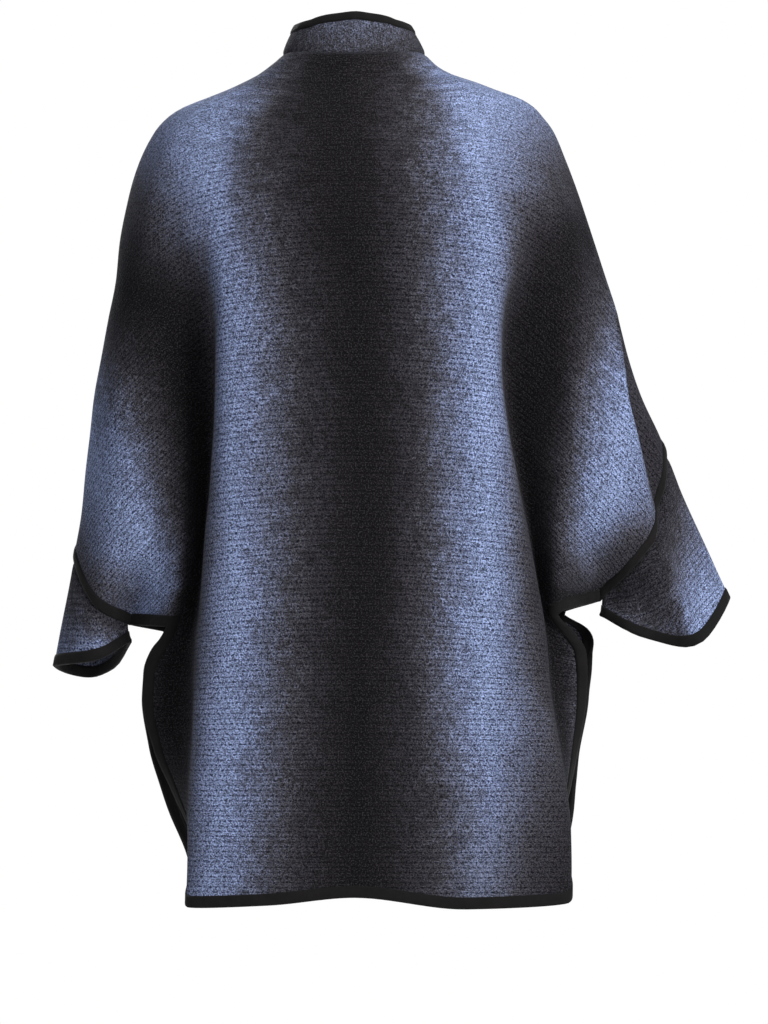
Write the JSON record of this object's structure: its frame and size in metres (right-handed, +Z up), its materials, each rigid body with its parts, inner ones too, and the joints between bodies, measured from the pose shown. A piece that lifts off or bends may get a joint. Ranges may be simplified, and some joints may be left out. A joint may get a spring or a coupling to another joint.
{
  "type": "stand-collar knit cape sweater",
  "caption": "Worn open-front knit cape sweater with stand collar, batwing sleeves, flared cuffs, side slits and dark binding on every edge.",
  "frame": {"origin": "on the shoulders' level at the nape, midway between back and front of the neck, just below the collar seam; the wearer holds the sweater there", "axes": "+Z up along the body, +X to the wearer's left, -Y to the front, +Y to the back"},
  "size_m": [0.7174, 0.2731, 0.9191],
  "materials": {
    "knit": "heathered fine knit, matt, blue and charcoal ombre",
    "binding": "matt black woven binding"
  },
  "bodies": {
    "root": {"back": "knit", "front_left": "knit", "front_right": "knit", "collar": "knit", "cuff_left": "knit", "cuff_right": "knit", "binding_back": "binding", "binding_front_left": "binding", "binding_front_right": "binding", "binding_collar": "binding", "cuff_binding_left": "binding", "cuff_binding_right": "binding", "sleeve_band_left": "binding", "sleeve_band_right": "binding"}
  },
  "joints": []
}
